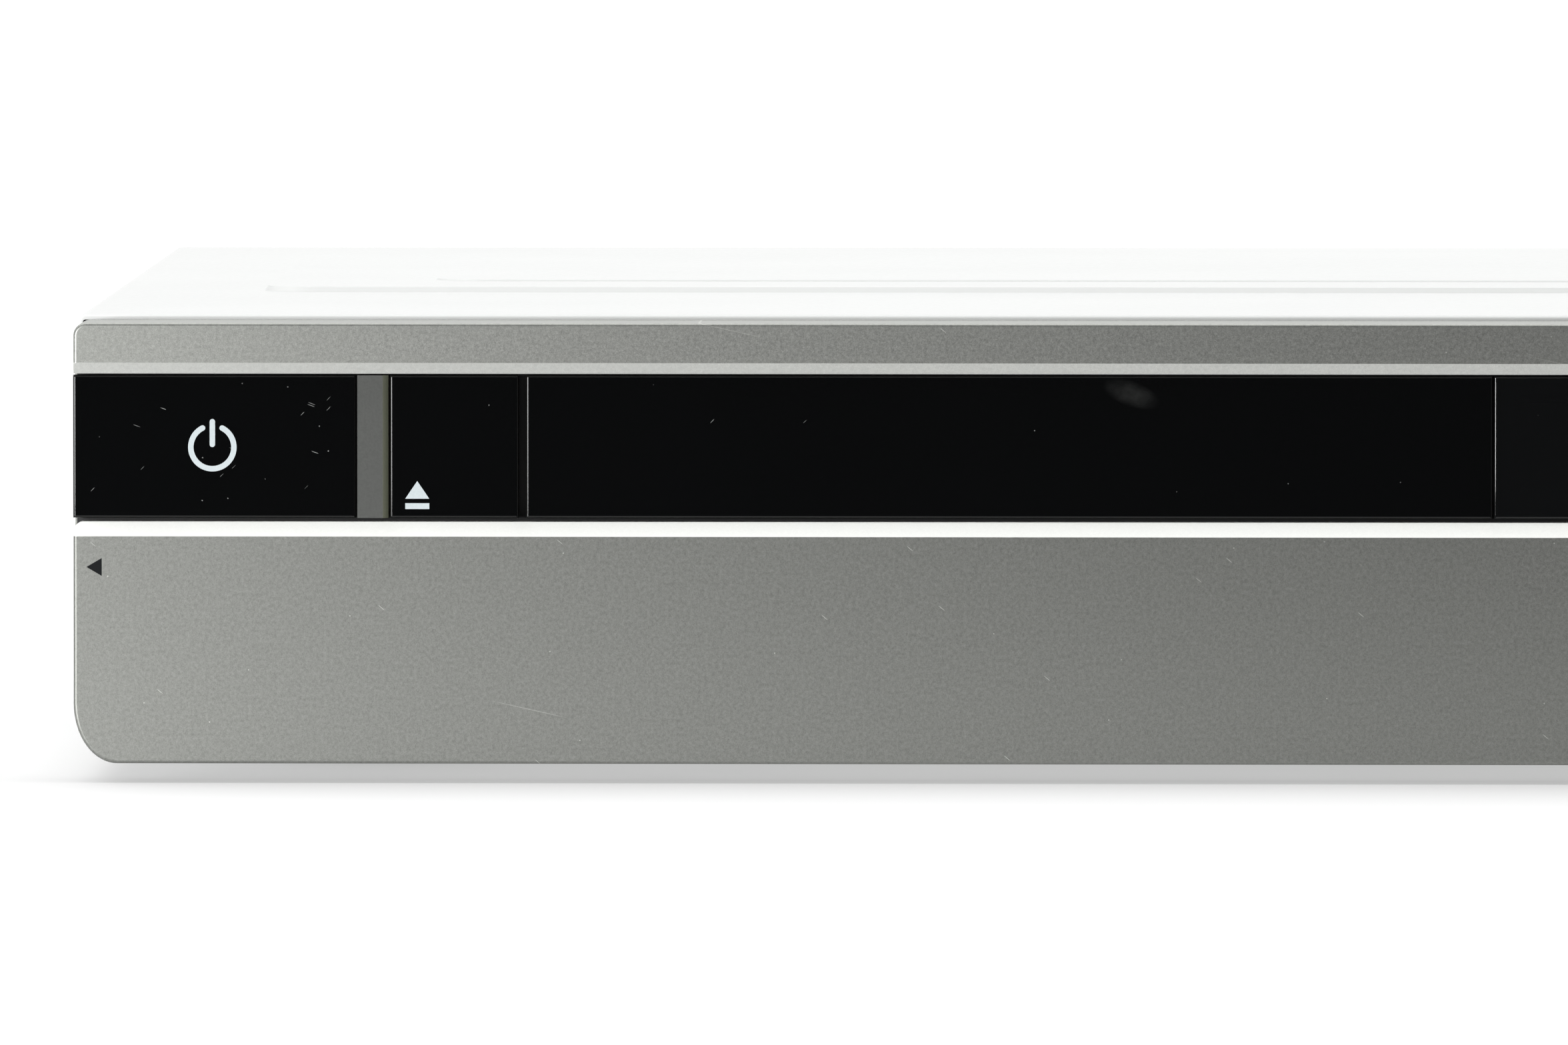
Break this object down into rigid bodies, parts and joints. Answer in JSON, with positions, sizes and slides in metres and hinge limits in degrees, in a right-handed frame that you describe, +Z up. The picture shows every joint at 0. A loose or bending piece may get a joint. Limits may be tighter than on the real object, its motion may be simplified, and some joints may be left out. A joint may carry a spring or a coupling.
{
  "type": "disc player with tray",
  "caption": "Full-width disc player: silver front with drop-down flap, black band with keys and motor-driven tray, loader mechanism, boards, fan and rear jacks in a steel case.",
  "frame": {"origin": "on the table, under the middle of the deck's bounding box", "axes": "X to the right seen from the front, Y to the back, Z up"},
  "size_m": [0.4316, 0.33, 0.0724],
  "materials": {
    "silver_front": "metallic silver paint",
    "white_cover": "satin",
    "black_gloss": "high gloss",
    "display_glass": "high gloss, tinted",
    "strip_grey": "satin",
    "zinc_steel": "zinc plated",
    "rear_steel": "satin",
    "screw_black": "black zinc",
    "foot_plastic": "matte",
    "rubber": "matte",
    "black_plastic": "fine grain",
    "gear_plastic": "natural acetal",
    "traverse_steel": "zinc plated",
    "board_green": "solder resist",
    "display_tube": "clear",
    "lens_glass": "coated",
    "lamp_resin": "clear resin",
    "jack_metal": "nickel",
    "transformer_mix": "ferrite with taped winding",
    "capacitor_sleeve": "shrink sleeve",
    "heatsink_alu": "mill",
    "ribbon": "flat cable"
  },
  "bodies": {
    "case": {"front_bezel": "silver_front", "top_cover": "white_cover", "display_window": "display_glass", "divider_strips": "strip_grey", "base_chassis": "zinc_steel", "loader_brackets": "zinc_steel", "clamp_bridge": "zinc_steel", "flap_hinge_pins": "zinc_steel", "tuner_module": "zinc_steel", "loading_motor": "zinc_steel", "rear_panel": "rear_steel", "case_screws": "screw_black", "foot_screws": "screw_black", "loader_screws": "screw_black", "feet": "foot_plastic", "foot_pads": "rubber", "loading_belt": "rubber", "flap_damper": "black_plastic", "flap_catch": "black_plastic", "jack_housings": "black_plastic", "front_data_sockets": "black_plastic", "loader_frame": "black_plastic", "scart_sockets": "black_plastic", "mains_inlet": "black_plastic", "fan_frame": "black_plastic", "key_switches": "black_plastic", "main_board_chips": "black_plastic", "key_board": "board_green", "display_board": "board_green", "jack_board": "board_green", "power_board": "board_green", "main_board": "board_green", "display_module": "display_tube", "indicator_lamps": "lamp_resin", "jack_barrels": "jack_metal", "transformer": "transformer_mix", "power_capacitors": "capacitor_sleeve", "power_heatsinks": "heatsink_alu", "ribbon_cable": "ribbon"},
    "tray": {"disc_tray": "black_plastic", "tray_door": "black_gloss"},
    "gear_of_tray": {"tray_gear": "gear_plastic"},
    "gear_with_pulley": {"pulley_gear": "gear_plastic"},
    "small_pulley": {"motor_pulley": "gear_plastic"},
    "slider": {"cam_slider": "black_plastic"},
    "traverse": {"traverse_plate": "traverse_steel", "spindle_motor": "zinc_steel", "guide_rods": "traverse_steel", "sled_motor": "zinc_steel"},
    "spindle": {"turntable": "black_plastic"},
    "disc_clamp": {"clamper": "black_plastic"},
    "pickup": {"optical_pickup": "black_plastic", "objective_lens": "lens_glass"},
    "screw": {"lead_screw": "traverse_steel"},
    "power_key": {"power_button": "black_gloss"},
    "eject_key": {"eject_button": "black_gloss"},
    "stop_key": {"stop_button": "black_gloss"},
    "play_key": {"play_button": "black_gloss"},
    "flap": {"front_flap": "silver_front"},
    "fan": {"fan_rotor": "black_plastic"}
  },
  "joints": [
    {"name": "tray_slide", "type": "slide", "parent": "case", "child": "tray", "axis": [0, -1, 0], "range_m": [0, 0.14]},
    {"name": "tray_gear_spin", "type": "hinge", "parent": "case", "child": "gear_of_tray", "pos_m": [-0.1147, -0.13, 0.046], "axis": [0, 0, 1], "range_deg": [0, 669]},
    {"name": "pulley_gear_spin", "type": "hinge", "parent": "case", "child": "gear_with_pulley", "pos_m": [-0.0967, -0.13, 0.042], "axis": [0, 0, 1], "range_deg": [-1338, 0]},
    {"name": "motor_pulley_spin", "type": "hinge", "parent": "case", "child": "small_pulley", "pos_m": [-0.0517, -0.13, 0.038], "axis": [0, 0, 1], "range_deg": [-6686, 0]},
    {"name": "traverse_tilt", "type": "hinge", "parent": "case", "child": "traverse", "pos_m": [-0.0717, 0.007, 0.041], "axis": [1, 0, 0], "range_deg": [0, 3]},
    {"name": "cam_slide", "type": "slide", "parent": "case", "child": "slider", "axis": [1, 0, 0], "range_m": [0, 0.02]},
    {"name": "spindle_spin", "type": "hinge", "parent": "traverse", "child": "spindle", "pos_m": [-0.0717, -0.087, 0.053], "axis": [0, 0, 1], "continuous": true},
    {"name": "clamper_spin", "type": "hinge", "parent": "case", "child": "disc_clamp", "pos_m": [-0.0717, -0.087, 0.06], "axis": [0, 0, 1], "continuous": true},
    {"name": "pickup_slide", "type": "slide", "parent": "traverse", "child": "pickup", "axis": [0, 1, 0], "range_m": [0, 0.035]},
    {"name": "lead_screw_spin", "type": "hinge", "parent": "traverse", "child": "screw", "pos_m": [-0.0337, -0.045, 0.0337], "axis": [0, 1, 0], "range_deg": [0, 4201]},
    {"name": "power_press", "type": "slide", "parent": "case", "child": "power_key", "axis": [0, 1, 0], "range_m": [0, 0.0008], "stiffness_N_per_m": 500, "springref_m": -0.0006},
    {"name": "eject_press", "type": "slide", "parent": "case", "child": "eject_key", "axis": [0, 1, 0], "range_m": [0, 0.0008], "stiffness_N_per_m": 500, "springref_m": -0.0006},
    {"name": "stop_press", "type": "slide", "parent": "case", "child": "stop_key", "axis": [0, 1, 0], "range_m": [0, 0.0008], "stiffness_N_per_m": 500, "springref_m": -0.0006},
    {"name": "play_press", "type": "slide", "parent": "case", "child": "play_key", "axis": [0, 1, 0], "range_m": [0, 0.0008], "stiffness_N_per_m": 500, "springref_m": -0.0006},
    {"name": "flap_hinge", "type": "hinge", "parent": "case", "child": "flap", "pos_m": [0, -0.159, 0.009], "axis": [1, 0, 0], "range_deg": [0, 90]},
    {"name": "fan_spin", "type": "hinge", "parent": "case", "child": "fan", "pos_m": [-0.1, 0.15, 0.034], "axis": [0, 1, 0], "continuous": true}
  ],
  "couplings": [
    {"joint": "tray_gear_spin", "follows": "tray_slide", "rad_per_m": 83.333},
    {"joint": "pulley_gear_spin", "follows": "tray_slide", "rad_per_m": -166.67},
    {"joint": "motor_pulley_spin", "follows": "tray_slide", "rad_per_m": -833.33},
    {"joint": "cam_slide", "follows": "traverse_tilt", "m_per_rad": 0.3819},
    {"joint": "clamper_spin", "follows": "spindle_spin", "ratio": 1},
    {"joint": "lead_screw_spin", "follows": "pickup_slide", "rad_per_m": 2094.4}
  ]
}
